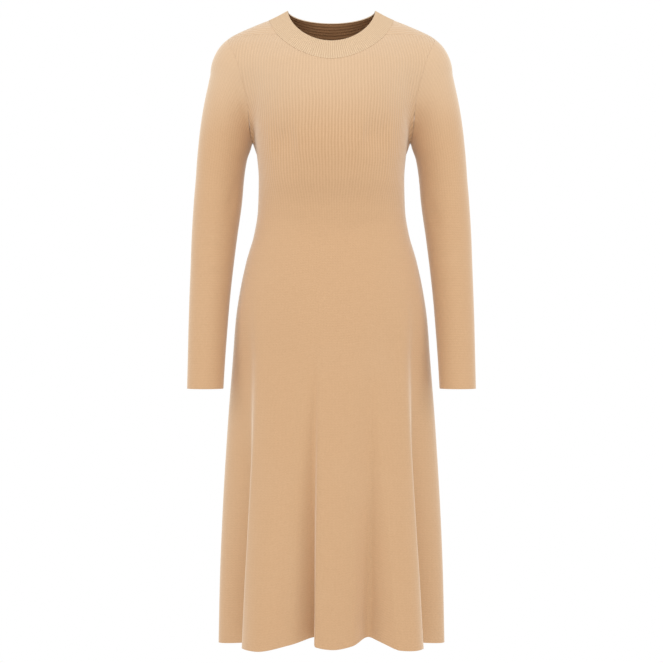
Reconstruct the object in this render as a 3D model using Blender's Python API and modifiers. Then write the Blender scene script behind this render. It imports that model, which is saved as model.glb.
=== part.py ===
"""Fine-knit midi sweater dress, filled out as if worn but with nobody in it.

Metres, +Z up.  The wearer faces -Y, so the wearer's left is +X.  The origin is in the middle of the
neck opening, level with the top of the neckband at the shoulders, which is what the dress hangs from.
Below the underarm each panel is lofted through level sections of the skirt and bodice.  Above it the
panels and the sleeves share one rounded shoulder form and are cut apart along their seams.
"""
import math

import bmesh
import bpy
import numpy as np

OBJECT_NAME = "sweater_dress"
MM = 0.001

CLOTH = 2.0 * MM          # bodice, skirt and sleeve wall
BAND_CLOTH = 3.0 * MM     # the neckband is folded double
SEAM_GAP = 0.3 * MM       # space left between two sewn pieces
UNDERARM_GAP = 1.2 * MM   # left between front and back at the underarm, where the cloth bends sharply
SEAM_STRIP = 3.0 * MM     # narrow first face beside a seam, so both rims stand the same way

HEM_Z = -1137 * MM
CHEST_Z = -256 * MM       # the level sections end here, just below the underarm

COLUMN_DEGREES = 8        # about how far a column of the panels turns
SIDE_SEAM_REACH = 165 * MM  # about how far the side seams lie from the middle line
SKIRT_ROWS = 16           # faces from the hem up to CHEST_Z
ARMHOLE_ROWS = (0, 0.06, 0.14, 0.24, 0.36, 0.48, 0.60, 0.72, 0.83, 0.92)  # shares of its length
SHOULDER_SHARES = (0.35, 0.68)  # shares of the shoulder seam's length at which points lie

# Torso and skirt, level by level: height, half width, how far the front and the back stand out, and
# how square the section is (2 is an ellipse).
TORSO = (
    # level, half_width, front, back, squareness
    (12, 54, 12, 20, 2.0),
    (0, 82, 22, 34, 2.0),
    (-11, 109, 32, 48, 2.1),
    (-22, 136, 43, 62, 2.2),
    (-33, 154, 54, 74, 2.3),
    (-45, 165, 65, 85, 2.3),
    (-65, 171, 88, 96, 2.3),
    (-97, 168, 115, 106, 2.3),
    (-140, 156, 127, 112, 2.3),
    (-190, 143, 135, 110, 2.3),
    (-242, 136.5, 138, 104, 2.3),
    (-300, 131.5, 128, 95, 2.3),
    (-355, 133, 110, 88, 2.2),
    (-400, 140, 104, 92, 2.2),
    (-445, 153, 108, 102, 2.2),
    (-500, 165, 114, 116, 2.2),
    (-554, 173, 119, 126, 2.2),
    (-626, 178.5, 123, 130, 2.1),
    (-735, 187, 130, 133, 2.1),
    (-898, 197, 140, 140, 2.1),
    (-1020, 202, 146, 145, 2.1),
    (-1137, 204.5, 150, 150, 2.1),
)

# Sleeve, level by level: its outer and inner edge seen from the front, how far forward its middle
# lies, and half its depth from front to back.
SLEEVE = (
    # level, outer, inner, forward, half_depth
    (-110, 219, 121, 0, 55),
    (-174, 232.5, 133, -2, 55),
    (-210, 238, 139, -3, 53),
    (-242, 241.5, 145.5, -4, 51),
    (-264, 243.5, 153, -4, 50),
    (-300, 246, 158.5, -4, 49),
    (-337, 249, 161.5, -2, 48),
    (-409, 253, 171, 3, 44),
    (-463, 254.5, 177.5, 9, 41),
    (-518, 256, 183, 17, 38),
    (-572, 257, 187, 26, 35.5),
    (-626, 257.5, 190.5, 36, 33),
    (-677, 258, 193, 46, 31.5),
)
SHOULDER_CAP = 62 * MM    # the sleeve form closes over the shoulder in a dome this high

# How widely torso and sleeve are rounded into each other, level by level.
ROUNDING = (
    # level, radius
    (0, 46),
    (-110, 46),
    (-190, 34),
    (-225, 16),
    (-242, 8),
    (-264, 2),
    (-300, 0.5),
)

# Ridges and valleys of the hem, by the way they face (0 is the front, 90 the wearer's left), how far
# they stand out, how far they lean along the hem, how far the hem rises there, the level at which
# they begin, and how slowly they grow from there (1 is evenly).
FLUTES = (
    # facing, out, lean, rise, begins, growth
    (-90, 0, 0, 0, -600, 1.5),
    (-66, -46, 0, 10, -580, 1.2),
    (-53, 12, 0, 7, -560, 1.4),
    (-41, 30, 0, 7, -600, 1.6),
    (-27, 2, 0, 17, -640, 1.6),
    (-14, -34, 0, 27, -620, 1.4),
    (-9, 3, -5, 15, -600, 1.4),
    (1, 8, 0, 11, -640, 1.6),
    (13, -1, 0, 15, -640, 1.6),
    (30, -33, 0, 27, -640, 1.5),
    (34, -6, 0, 20, -640, 1.5),
    (38, 23, 0, 9, -640, 1.6),
    (46, 30, 0, 7, -620, 1.5),
    (53, 18, 0, 7, -520, 1.3),
    (66, -46, 0, 10, -540, 1.1),
    (90, 0, 0, 0, -600, 1.5),
    (108, -24, 0, 6, -640, 1.5),
    (127, 26, 0, 2, -640, 1.5),
    (151, -26, 0, 6, -660, 1.5),
    (172, 14, 0, 2, -660, 1.5),
    (198, -24, 0, 6, -660, 1.5),
    (221, 28, 0, 2, -640, 1.5),
    (248, -26, 0, 6, -620, 1.5),
)

# Neck seam and the top edge of the neckband: half width, the middle's place, how far it reaches to
# front and back, how far it drops there below the sides, and how long it stays high on the way
# (1 drops evenly).
NECK_SEAM = {"half_width": 113, "middle_y": -14, "side_z": -13, "front": 101, "back": 99,
             "front_drop": 84, "back_drop": 31, "drop_power": 1.6}
NECK_EDGE = {"half_width": 79, "middle_y": -14, "side_z": 3, "front": 76, "back": 74,
             "front_drop": 65, "back_drop": 11, "drop_power": 1.2}
SHOULDER_SEAM_FACING = 28  # degrees forward of the side at which the shoulder seam meets the neckband

# The neckband's rings between its seam and its top edge: shares of its width, and how far it bulges.
BAND_RINGS = (0.45, 1.0)
BAND_BULGE = 0.35

# The armhole seam lies in a leaning sheet through these two points, hollowed toward the neck.
SHOULDER_POINT = (188, -43)
UNDERARM_POINT = (141, -242)
ARMHOLE_SCOOP_FRONT = 9 * MM
ARMHOLE_SCOOP_BACK = 5 * MM
ARMHOLE_SCOOP_REACH = 55 * MM  # how far from the sheet's middle the hollow is at its deepest
SHOULDER_SEAM_FORWARD = 19 * MM  # how far in front of the shoulder ridge the shoulder seam ends

# Sleeve rings from the armhole to where they lie level: height at the inner and the outer side.
SLEEVE_FAN = (
    # inner, outer
    (-247, -80),
    (-253, -122),
    (-262, -166),
    (-275, -212),
    (-293, -256),
)
SLEEVE_LEVELS = (-320, -360, -405, -450, -500, -550, -605, -677)

# Guessed points are pressed onto the form along rays from near the chest's middle.  Each ray starts
# this share of the guess's own way sideways and down from there.
CHEST_MIDDLE = np.array([0, 0, -150]) * MM
RAY_START_SIDEWAYS, RAY_START_DOWN = 0.5, 0.6
SEARCH_LENGTH = 260 * MM  # the form's surface is nearer than this along every ray
SEARCH_STEPS = 240
RELAX_ROUNDS = 4          # passes that even out the panels' points over the chest and shoulders


def smooth_slopes(knots, values):
    """Slopes of a smooth curve that never overshoots its knots."""
    widths = np.diff(knots)
    rises = np.diff(values) / widths
    slopes = np.zeros(len(knots))
    slopes[0], slopes[-1] = rises[0], rises[-1]
    for i in range(1, len(knots) - 1):
        before, after = rises[i - 1], rises[i]
        if before * after > 0:
            near, far = 2 * widths[i] + widths[i - 1], widths[i] + 2 * widths[i - 1]
            slopes[i] = (near + far) / (near / before + far / after)
    return slopes


def read_table(table, column, at):
    """Read one column of a table smoothly at the values of its first column."""
    rows = np.array(sorted(table), dtype=float)
    knots, values = rows[:, 0], rows[:, column]
    slopes = smooth_slopes(knots, values)
    at = np.clip(at, knots[0], knots[-1])
    i = np.clip(np.searchsorted(knots, at) - 1, 0, len(knots) - 2)
    width = knots[i + 1] - knots[i]
    t = (at - knots[i]) / width
    return ((1 + 2 * t) * (1 - t) ** 2 * values[i] + t * (1 - t) ** 2 * width * slopes[i]
            + t * t * (3 - 2 * t) * values[i + 1] + t * t * (t - 1) * width * slopes[i + 1])


def torso_radius(direction_x, direction_y, z):
    """Distance from the middle line to the torso or skirt, flutes aside, in a level direction."""
    level = z / MM
    half_width = read_table(TORSO, 1, level) * MM
    front, back = read_table(TORSO, 2, level) * MM, read_table(TORSO, 3, level) * MM
    power = read_table(TORSO, 4, level)
    depth = np.where(direction_y < 0, front, back)
    total = (np.abs(direction_x) / half_width) ** power + (np.abs(direction_y) / depth) ** power
    return np.maximum(total, 1e-9) ** (-1 / power)


def torso_distance(points):
    x, y, z = points[..., 0], points[..., 1], points[..., 2]
    reach = np.maximum(np.hypot(x, y), 1e-9)
    return reach - torso_radius(x / reach, y / reach, z)


def sleeve_middle(z):
    """Middle and half sizes of the sleeve form at a height."""
    level = np.minimum(z / MM, SLEEVE[0][0])
    outer, inner = read_table(SLEEVE, 1, level) * MM, read_table(SLEEVE, 2, level) * MM
    forward, half_depth = read_table(SLEEVE, 3, level) * MM, read_table(SLEEVE, 4, level) * MM
    return (outer + inner) / 2, -forward, (outer - inner) / 2, half_depth


def sleeve_distance(points):
    """Distance outside the +X sleeve form, which ends in a dome at the shoulder."""
    middle_x, middle_y, half_width, half_depth = sleeve_middle(points[..., 2])
    x, y = points[..., 0] - middle_x, points[..., 1] - middle_y
    above = np.maximum(points[..., 2] - SLEEVE[0][0] * MM, 0)
    reach = np.maximum(np.sqrt(x * x + y * y + above * above), 1e-9)
    scaled = np.sqrt((x / half_width) ** 2 + (y / half_depth) ** 2 + (above / SHOULDER_CAP) ** 2)
    return reach - reach / np.maximum(scaled, 1e-9)


def form_distance(points):
    """Distance outside the bodice and the sleeves together, rounded where they meet."""
    points = np.concatenate([np.abs(points[..., :1]), points[..., 1:]], axis=-1)
    torso, sleeve = torso_distance(points), sleeve_distance(points)
    radius = read_table(ROUNDING, 1, points[..., 2] / MM) * MM
    overlap = np.maximum(radius - np.abs(torso - sleeve), 0) / radius
    return np.minimum(torso, sleeve) - overlap ** 2 * radius / 4


def first_exit(starts, path):
    """Follow each path, a function of distance, to where it first leaves the form."""
    along = np.linspace(0, SEARCH_LENGTH, SEARCH_STEPS + 1)
    samples = np.stack([path(np.full(len(starts), s)) for s in along], axis=1)
    outside = form_distance(samples) > 0
    outside[:, 0], outside[:, -1] = False, True
    first = np.argmax(outside, axis=1)
    low, high = along[first - 1], along[first]
    for _ in range(30):
        middle = (low + high) / 2
        out = form_distance(path(middle)) > 0
        low, high = np.where(out, low, middle), np.where(out, middle, high)
    return path((low + high) / 2)


def press_onto_form(guesses):
    """Move guessed points along rays from the chest's middle onto the form."""
    starts = np.tile(CHEST_MIDDLE, (len(guesses), 1))
    starts[:, 0] = RAY_START_SIDEWAYS * guesses[:, 0]
    starts[:, 2] += RAY_START_DOWN * np.minimum(guesses[:, 2] - CHEST_MIDDLE[2], 0)
    directions = guesses - starts
    directions /= np.linalg.norm(directions, axis=1)[:, None]
    return first_exit(starts, lambda s: starts + directions * s[:, None])


def form_slope(points):
    """Direction and rate in which the distance outside the form grows."""
    step = 0.1 * MM
    return np.stack([(form_distance(points + axis) - form_distance(points - axis)) / (2 * step)
                     for axis in np.eye(3) * step], axis=-1)


def settle(points):
    """Move points that lie near the form straight onto it."""
    for _ in range(2):
        slope = form_slope(points)
        points = points - (form_distance(points) / (slope ** 2).sum(axis=-1))[..., None] * slope
    return points


def relax(grid, across, upward, rounds):
    """Even out the inner points of a grid along the form, keeping its edges and its spacing."""
    def pull(before, here, after, before_at, here_at, after_at, length):
        near, far = here_at - before_at, after_at - here_at
        return (before * far + after * near) / (near + far), 1 / (near * far * length ** 2)

    width = np.linalg.norm(np.diff(grid[0], axis=0), axis=1).sum()
    height = np.linalg.norm(np.diff(grid[:, 0], axis=0), axis=1).sum()
    u, v = across[None, :, None], upward[:, None, None]
    for _ in range(rounds):
        inner = grid[1:-1, 1:-1]
        level, level_weight = pull(grid[1:-1, :-2], inner, grid[1:-1, 2:],
                                   u[:, :-2], u[:, 1:-1], u[:, 2:], width)
        upright, upright_weight = pull(grid[:-2, 1:-1], inner, grid[2:, 1:-1],
                                       v[:-2], v[1:-1], v[2:], height)
        total = level_weight + upright_weight
        grid[1:-1, 1:-1] = settle((level * level_weight + upright * upright_weight) / total)
    return grid


def flute_column(facing, column):
    """Read a flute column around the hem, whose table closes on itself."""
    turned = [(row[0] + turn, *row[1:]) for turn in (-360, 0, 360) for row in FLUTES]
    return read_table(turned, column, facing)


def skirt_points(facing, height_fraction):
    """Points of the level sections; facing in degrees, height from 0 at the hem to 1 at the underarm."""
    angle = np.radians(facing)
    out_x, out_y = np.sin(angle), -np.cos(angle)
    rise = flute_column(facing, 3) * MM
    z = HEM_Z + rise + (CHEST_Z - HEM_Z - rise) * height_fraction
    begins = flute_column(facing, 4) * MM
    growth = np.clip((begins - z) / (begins - HEM_Z), 0, 1) ** flute_column(facing, 5)
    radius = torso_radius(out_x, out_y, z) + flute_column(facing, 1) * MM * growth
    lean = flute_column(facing, 2) * MM * growth
    return np.stack([radius * out_x - lean * out_y, radius * out_y + lean * out_x, z], axis=-1)


def evenly(points, fractions):
    """Points at the given fractions of a polyline's length."""
    lengths = np.concatenate([[0], np.cumsum(np.linalg.norm(np.diff(points, axis=0), axis=1))])
    wanted = np.asarray(fractions) * lengths[-1]
    return np.stack([np.interp(wanted, lengths, points[:, i]) for i in range(3)], axis=1)


def neck_curve(sizes, facing):
    """A closed curve around the neck; facing in degrees as for the flutes."""
    angle = np.radians(facing)
    ahead = np.cos(angle)
    reach = np.where(ahead > 0, sizes["front"], sizes["back"])
    drop = np.where(ahead > 0, sizes["front_drop"], sizes["back_drop"])
    x = sizes["half_width"] * np.sin(angle)
    y = sizes["middle_y"] - reach * ahead
    z = sizes["side_z"] - drop * np.abs(ahead) ** sizes["drop_power"]
    return np.stack([x, y, z], axis=-1) * MM


def neck_seam(facing, toward_edge):
    """The neck seam on the form, moved the given distance toward the neckband's edge."""
    seam, edge = neck_curve(NECK_SEAM, facing), neck_curve(NECK_EDGE, facing)
    direction = edge - seam
    direction /= np.linalg.norm(direction, axis=-1)[..., None]
    return press_onto_form(seam + direction * toward_edge)


def armhole_frame():
    """Start, upward direction and outward direction of the sheet that holds the armhole seam."""
    top = np.array([SHOULDER_POINT[0], 0, SHOULDER_POINT[1]]) * MM
    bottom = np.array([UNDERARM_POINT[0], 0, UNDERARM_POINT[1]]) * MM
    up = (top - bottom) / np.linalg.norm(top - bottom)
    return (top + bottom) / 2, up, np.array([up[2], 0, -up[0]]), np.linalg.norm(top - bottom)


def armhole_points(turns, toward_sleeve):
    """Armhole seam of the +X side; turns in degrees, -90 underarm, 0 front, 90 shoulder, 180 back."""
    start, up, out, height = armhole_frame()
    angle = np.radians(turns)
    ahead, rise = np.cos(angle), np.sin(angle)

    def path(s):
        level = np.clip(s * rise / (height / 2), -1, 1)
        depth = np.clip(np.abs(s * ahead) / ARMHOLE_SCOOP_REACH, 0, 1)
        scoop = np.where(ahead > 0, ARMHOLE_SCOOP_FRONT, ARMHOLE_SCOOP_BACK)
        inward = scoop * depth ** 2 * (1 - level ** 2)
        sideways = toward_sleeve - inward
        return (start + np.outer(s * ahead, (0, -1, 0)) + np.outer(s * rise, up)
                + np.outer(sideways, out))

    starts = np.tile(start, (len(turns), 1))
    return first_exit(starts, path)


def shoulder_turn():
    """Turn of the armhole point that lies the set distance in front of the shoulder ridge."""
    turns = np.linspace(45, 90, 91)
    points = armhole_points(turns, 0)
    return float(np.interp(-SHOULDER_SEAM_FORWARD, points[:, 1], turns))


def armhole_half(is_front, toward_sleeve, from_side_seam):
    """Armhole of the +X side from the underarm to the shoulder seam, a point for each chest row."""
    seam_turn = math.degrees(from_side_seam / (armhole_frame()[3] / 2))
    underarm_turn = -90 + seam_turn if is_front else 270 - seam_turn
    turns = np.linspace(underarm_turn, shoulder_turn(), 300)
    points = armhole_points(turns, toward_sleeve)
    length = np.linalg.norm(np.diff(points, axis=0), axis=1).sum()
    return evenly(points, [*ARMHOLE_ROWS, 1 - SEAM_STRIP / length, 1])


def neck_facings(is_front):
    """Where the neck seam's corners face, for the front or the back, toward +X."""
    columns = panel_facings(is_front)
    corner = 90 - SHOULDER_SEAM_FACING
    if is_front:
        return np.linspace(-corner, corner, len(columns) - 2 * (len(SHOULDER_SHARES) + 3))
    shares = shares_along(skirt_points(columns, np.ones(len(columns))))
    return 360 - corner + (2 * corner - 360) * shares


def coons(bottom, top, left, right, across, upward):
    """Guess points between four edges; bottom and top run from left to right."""
    u, v = across[None, :, None], upward[:, None, None]
    between = (1 - v) * bottom[None] + v * top[None] + (1 - u) * left[:, None] + u * right[:, None]
    corners = ((1 - u) * (1 - v) * bottom[0] + u * (1 - v) * bottom[-1]
               + (1 - u) * v * top[0] + u * v * top[-1])
    return between - corners


def panel_facings(is_front):
    """Where the panel's columns face: on each ridge and valley, evenly between them, toward +X."""
    marks = [row[0] for row in FLUTES if (row[0] <= 90) == is_front or row[0] == 90]
    marks = marks if is_front else [*marks, 270]
    facing = [marks[0]]
    for mark, following in zip(marks, marks[1:]):
        count = max(1, round((following - mark) / COLUMN_DEGREES))
        facing.extend(np.linspace(mark, following, count + 1)[1:])
    gap, strip = (math.degrees(length / SIDE_SEAM_REACH) for length in (SEAM_GAP / 2, SEAM_STRIP))
    facing = np.array([marks[0] + gap, marks[0] + gap + strip, *facing[1:-1],
                       marks[-1] - gap - strip, marks[-1] - gap])
    return facing if is_front else facing[::-1]


def shares_along(points):
    """How far along a polyline each of its points lies, from 0 to 1."""
    lengths = np.concatenate([[0], np.cumsum(np.linalg.norm(np.diff(points, axis=0), axis=1))])
    return lengths / lengths[-1]


def panel_outline(is_front):
    """Edge of a panel's +X half in three runs: armhole, shoulder seam, and all of the neck seam."""
    away = SEAM_GAP / 2
    armhole = armhole_half(is_front, -away, UNDERARM_GAP / 2)
    neck = neck_seam(neck_facings(is_front), -away)[::-1]
    ends = np.array([armhole[-1], neck[0]]) + (0, -away if is_front else away, 0)
    ends = press_onto_form(ends)
    armhole[-1], neck[0], neck[-1] = ends[0], ends[1], ends[1] * (-1, 1, 1)
    strip = SEAM_STRIP / np.linalg.norm(ends[0] - ends[1])
    shares = np.array([strip, *SHOULDER_SHARES, 1 - strip])[:, None]
    return armhole, press_onto_form(ends[0] * (1 - shares) + ends[1] * shares), neck


def strip_inside(outline, is_front):
    """Points of the form a narrow strip inside a panel's edge."""
    along = np.gradient(outline, axis=0)
    inward = np.cross(form_slope(outline), along) * (1 if is_front else -1)
    return settle(outline + inward * (SEAM_STRIP / np.linalg.norm(inward, axis=1))[:, None])


def panel_grid(is_front):
    """Grid of points of the front or back panel, rows from hem to neck, columns toward +X.

    The shoulder seams belong to the front's top edge but to the back's sides.  A narrow strip runs
    inside the edges, and a patch fills what is left.  The points dropped beside the grid's corners are
    those the strip and the edge both hold there.
    """
    facing = panel_facings(is_front)
    heights = np.linspace(0, 1, SKIRT_ROWS + 1)
    skirt = np.array([skirt_points(facing, np.full(len(facing), height)) for height in heights])

    armhole, shoulder, neck = panel_outline(is_front)
    tip = len(armhole)
    corner = tip + len(shoulder) + 1
    outline = np.concatenate([skirt[-1][-1:], armhole, shoulder, neck])
    inner = strip_inside(outline, is_front)
    inner[0], inner[-1] = skirt[-1][-2], inner[corner] * (-1, 1, 1)
    # The strip starts level at the underarm, where the form folds too sharply to follow.
    inner[1] = outline[1] + (0, -SEAM_STRIP if is_front else SEAM_STRIP, 0)
    if is_front:
        right, inner_right = outline[:tip + 1], np.delete(inner[:tip + 1], -2, axis=0)
        top = across_top(outline[tip:corner], outline[corner:])
        inner_top = across_top(np.delete(inner[tip:corner], 1, axis=0), inner[corner:])
    else:
        right = np.delete(outline[:corner + 1], [tip - 1, tip + 1], axis=0)
        inner_right = np.delete(inner[:corner + 1], [tip - 1, tip + 1, corner - 1], axis=0)
        top, inner_top = outline[:corner - 1:-1], np.delete(inner[:corner - 1:-1], [1, -2], axis=0)
    patch = chest_patch(skirt[-1][1:-1], inner_top, inner_right * (-1, 1, 1), inner_right)
    edge = right[:-1, None]
    chest = np.concatenate([edge * (-1, 1, 1), patch, edge], axis=1)
    return np.concatenate([skirt[:-1], chest, top[None]])


def across_top(shoulder, neck):
    """Top edge from -X to +X, given its shoulder seam toward the neck and the neck seam toward -X."""
    return np.concatenate([shoulder * (-1, 1, 1), neck[::-1], shoulder[::-1]])


def chest_patch(bottom, top, left, right):
    """Grid of points on the form between four edges."""
    across, upward = shares_along(bottom), shares_along(right)
    guesses = coons(bottom, top, left, right, across, upward)
    patch = press_onto_form(guesses.reshape(-1, 3)).reshape(guesses.shape)
    patch[0], patch[-1], patch[:, 0], patch[:, -1] = bottom, top, left, right
    return relax(patch, across, upward, RELAX_ROUNDS)


def sleeve_grid():
    """Grid of the +X sleeve, rings from armhole to cuff, closed around."""
    seams = [armhole_loop(toward) for toward in (SEAM_GAP / 2, SEAM_GAP / 2 + SEAM_STRIP)]
    around = shares_along(np.concatenate([seams[0], seams[0][:1]]))[:-1]
    turns = np.linspace(-90, 270, 721)
    levels = [*SLEEVE_FAN, *((level, level) for level in SLEEVE_LEVELS)]
    rings = [evenly(sleeve_ring(inner * MM, outer * MM, turns), around) for inner, outer in levels]
    return np.array(seams + rings)


def armhole_loop(toward_sleeve):
    """The armhole all round, with a point for each chest row of the front and of the back."""
    front, back = (armhole_half(is_front, toward_sleeve, SEAM_GAP / 2) for is_front in (True, False))
    return np.concatenate([(front[:1] + back[:1]) / 2, front[1:], back[-3:0:-1]])


def sleeve_ring(inner_z, outer_z, turns):
    """Ring of the sleeve in a plane that rises from its inner to its outer side."""
    middle_z = (inner_z + outer_z) / 2
    middle_x, middle_y, _, _ = sleeve_middle(np.array([middle_z]))
    inner_x = read_table(SLEEVE, 2, np.array([inner_z / MM]))[0] * MM
    outer_x = read_table(SLEEVE, 1, np.array([outer_z / MM]))[0] * MM
    up = np.array([outer_x - inner_x, 0, outer_z - inner_z])
    up /= np.linalg.norm(up)
    start = np.array([(inner_x + outer_x) / 2, middle_y[0], middle_z])
    angle = np.radians(turns)
    directions = np.outer(np.cos(angle), (0, -1, 0)) + np.outer(np.sin(angle), up)
    starts = np.tile(start, (len(turns), 1))
    return first_exit(starts, lambda s: start + directions * s[:, None])


def neckband_grid():
    """Grid of the neckband, rings from the neck seam to its top edge, closed around."""
    facing = np.concatenate([neck_facings(True), neck_facings(False)[-2:0:-1]])
    edge = neck_curve(NECK_EDGE, facing)
    low = neck_seam(facing, SEAM_GAP / 2)
    strip = neck_seam(facing, SEAM_GAP / 2 + SEAM_STRIP)
    tangent = strip - low
    tangent /= np.linalg.norm(tangent, axis=1)[:, None]
    rings = [low, strip]
    span = np.linalg.norm(edge - low, axis=1)[:, None]
    for share in BAND_RINGS:
        straight = low * (1 - share) + edge * share
        rings.append(straight + tangent * span * BAND_BULGE * share * (1 - share) ** 2)
    return np.array(rings)


def cloth_object(name, grid, thickness, material, closed, collection):
    """Make a cloth piece: an open sheet through the grid, thickened inward with Solidify."""
    mesh = bpy.data.meshes.new(name)
    rows, columns = grid.shape[:2]
    sheet = bmesh.new()
    verts = [[sheet.verts.new(point) for point in row] for row in grid]
    for i in range(rows - 1):
        for j in range(columns if closed else columns - 1):
            k = (j + 1) % columns
            sheet.faces.new((verts[i][j], verts[i][k], verts[i + 1][k], verts[i + 1][j]))
    turn_outward(sheet, grid)
    bmesh.ops.triangulate(sheet, faces=sheet.faces, quad_method="SHORT_EDGE")
    sheet.to_mesh(mesh)
    sheet.free()
    piece = bpy.data.objects.new(name, mesh)
    collection.objects.link(piece)
    solidify = piece.modifiers.new("cloth", "SOLIDIFY")
    solidify.thickness = thickness
    solidify.offset = -1
    mesh.materials.append(material)
    mesh.shade_smooth()
    return piece


def turn_outward(sheet, grid):
    """Make the faces look away from the piece's middle."""
    sheet.normal_update()
    middle = grid.reshape(-1, 3).mean(axis=0)
    facing = 0.0
    for face in sheet.faces:
        centre = np.array(face.calc_center_median()) - middle
        facing += face.calc_area() * float(np.dot(centre, face.normal))
    if facing < 0:
        bmesh.ops.reverse_faces(sheet, faces=sheet.faces)


def knit_material(name, colour):
    """Matt wool-like knit."""
    material = bpy.data.materials.new(name)
    material.use_nodes = True
    shader = material.node_tree.nodes["Principled BSDF"]
    shader.inputs["Base Color"].default_value = (*colour, 1)
    shader.inputs["Roughness"].default_value = 0.9
    shader.inputs["Metallic"].default_value = 0
    return material


def build():
    for old in list(bpy.data.objects):
        bpy.data.objects.remove(old)
    collection = bpy.data.collections.new(OBJECT_NAME)
    bpy.context.scene.collection.children.link(collection)

    camel, light_camel = (0.67, 0.42, 0.24), (0.79, 0.60, 0.40)
    for name, is_front in (("front", True), ("back", False)):
        cloth_object(name, panel_grid(is_front), CLOTH, knit_material(f"{name}_knit", camel), False,
                     collection)
    sleeve = sleeve_grid()
    for name, side in (("sleeve_left", 1), ("sleeve_right", -1)):
        cloth_object(name, sleeve * (side, 1, 1), CLOTH, knit_material(f"{name}_knit", camel), True,
                     collection)
    cloth_object("neckband", neckband_grid(), BAND_CLOTH, knit_material("neckband_rib", light_camel),
                 True, collection)


build()
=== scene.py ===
import math

import bpy
import numpy as np
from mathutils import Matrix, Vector


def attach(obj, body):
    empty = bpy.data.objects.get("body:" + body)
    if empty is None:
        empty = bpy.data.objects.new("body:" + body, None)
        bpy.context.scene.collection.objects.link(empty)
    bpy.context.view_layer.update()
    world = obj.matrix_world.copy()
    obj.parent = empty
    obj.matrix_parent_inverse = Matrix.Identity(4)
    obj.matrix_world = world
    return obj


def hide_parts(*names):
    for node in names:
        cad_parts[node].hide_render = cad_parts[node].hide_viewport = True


mm = 0.001

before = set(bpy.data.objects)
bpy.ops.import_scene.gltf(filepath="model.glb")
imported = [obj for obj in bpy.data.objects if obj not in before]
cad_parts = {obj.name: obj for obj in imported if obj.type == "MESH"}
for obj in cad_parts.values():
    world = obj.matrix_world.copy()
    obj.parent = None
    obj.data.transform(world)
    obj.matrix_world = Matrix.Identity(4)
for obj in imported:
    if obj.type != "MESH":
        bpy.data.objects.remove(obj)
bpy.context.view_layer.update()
print("frame loaded:", ", ".join(sorted(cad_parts)))


cloth = {
    "thickness": 2.0 * mm,      # bodice, skirt and sleeves
    "bandThickness": 3.0 * mm,  # the neckband is folded double
    "hemLevel": -1137 * mm,
    "chestLevel": -256 * mm,    # level sections end here, just below the underarm
    "columnDegrees": 1.35,      # how far a column of a panel turns
    "skirtRows": 150,
    "armholeRows": 56,
    "shoulderRows": 24,
    "relaxRounds": 24,
}

# Torso and skirt, level by level; squareness 2 is an ellipse.
torsoTable = (
    # level, half width, front, back, squareness
    (12, 54, 12, 20, 2.0),
    (0, 82, 22, 34, 2.0),
    (-11, 109, 32, 48, 2.1),
    (-22, 136, 43, 62, 2.2),
    (-33, 154, 54, 74, 2.3),
    (-45, 165, 65, 85, 2.3),
    (-65, 171, 88, 96, 2.3),
    (-97, 168, 115, 106, 2.3),
    (-140, 156, 127, 112, 2.3),
    (-190, 143, 135, 110, 2.3),
    (-242, 136.5, 138, 104, 2.3),
    (-300, 131.5, 128, 95, 2.3),
    (-355, 133, 110, 88, 2.2),
    (-400, 140, 104, 92, 2.2),
    (-445, 153, 108, 102, 2.2),
    (-500, 165, 114, 116, 2.2),
    (-554, 173, 119, 126, 2.2),
    (-626, 178.5, 123, 130, 2.1),
    (-735, 187, 130, 133, 2.1),
    (-898, 197, 140, 140, 2.1),
    (-1020, 202, 146, 145, 2.1),
    (-1137, 204.5, 150, 150, 2.1),
)

# Sleeve, level by level: outer and inner edge from the front, the middle's way forward, half depth.
sleeveTable = (
    # level, outer, inner, forward, half depth
    (-110, 219, 121, 0, 55),
    (-174, 232.5, 133, -2, 55),
    (-210, 238, 139, -3, 53),
    (-242, 241.5, 145.5, -4, 51),
    (-264, 243.5, 153, -4, 50),
    (-300, 246, 158.5, -4, 49),
    (-337, 249, 161.5, -2, 48),
    (-409, 253, 171, 3, 44),
    (-463, 254.5, 177.5, 9, 41),
    (-518, 256, 183, 17, 38),
    (-572, 257, 187, 26, 35.5),
    (-626, 257.5, 190.5, 36, 33),
    (-677, 258, 193, 46, 31.5),
)
shoulderCap = 62 * mm  # the sleeve closes over the shoulder in a dome this high

# How widely torso and sleeve run into each other.
roundingTable = (
    # level, radius
    (0, 46),
    (-110, 46),
    (-190, 34),
    (-225, 16),
    (-242, 8),
    (-264, 2),
    (-300, 0.5),
)

# Ridges and valleys of the hem: the way they face (0 front, 90 the wearer's left), how far they
# stand out, how far they lean along the hem, how far the hem rises, where they begin and how
# slowly they grow.
fluteTable = (
    # facing, out, lean, rise, begins, growth
    (-90, 0, 0, 0, -600, 1.5),
    (-66, -54, 0, 8, -500, 1.2),
    (-53, 13, -4, 7, -540, 1.4),
    (-41, 30, 0, 7, -600, 1.6),
    (-27, 2, 0, 17, -640, 1.6),
    (-14, -34, 0, 27, -580, 1.25),
    (-9, 3, -5, 15, -560, 1.25),
    (1, 8, 0, 11, -640, 1.6),
    (13, -1, 0, 15, -640, 1.6),
    (30, -31, 0, 27, -600, 1.3),
    (34, -6, -2, 20, -600, 1.3),
    (38, 23, 0, 9, -640, 1.6),
    (46, 30, 0, 7, -620, 1.5),
    (53, 18, 4, 7, -500, 1.5),
    (66, -54, 0, 8, -480, 1.2),
    (90, 0, 0, 0, -600, 1.5),
    (108, -24, 0, 6, -640, 1.5),
    (127, 26, 0, 2, -640, 1.5),
    (151, -26, 0, 6, -660, 1.5),
    (172, 14, 0, 2, -660, 1.5),
    (198, -24, 0, 6, -660, 1.5),
    (221, 28, 0, 2, -640, 1.5),
    (248, -26, 0, 6, -620, 1.5),
)

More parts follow.
